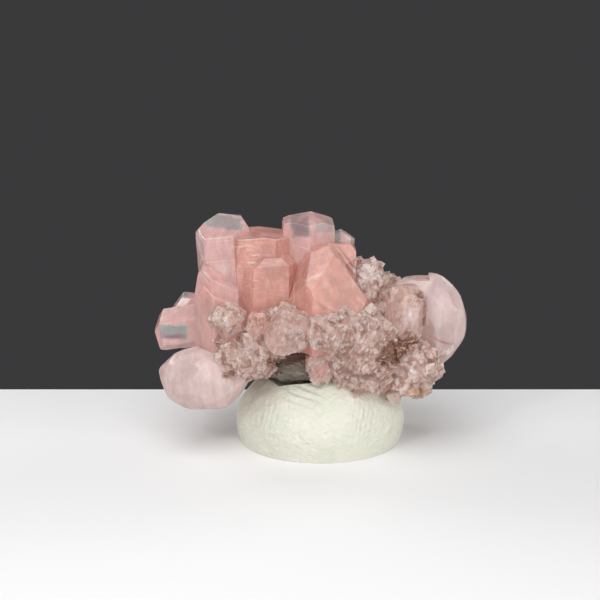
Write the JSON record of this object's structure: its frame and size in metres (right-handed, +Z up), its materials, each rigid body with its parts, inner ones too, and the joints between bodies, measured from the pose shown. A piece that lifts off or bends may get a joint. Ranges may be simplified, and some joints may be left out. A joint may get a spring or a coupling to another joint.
{
  "type": "cobaltoan calcite cluster",
  "caption": "Cluster of blocky pink calcite crystals over sparkling druse, with a little grey host rock, pressed into a mound of pale display putty that stands flat.",
  "frame": {"origin": "centre of the putty mound's flat foot", "axes": "+Z up through the crystals, +X to the right along the cluster's longest side, -Y towards the front that is shown"},
  "size_m": [0.0315, 0.0176, 0.0232],
  "materials": {
    "calcite": "polished",
    "rock": "matte",
    "putty": "satin"
  },
  "bodies": {
    "root": {"calcite_crystals": "calcite", "host_rock": "rock", "putty_mound": "putty"}
  },
  "joints": []
}
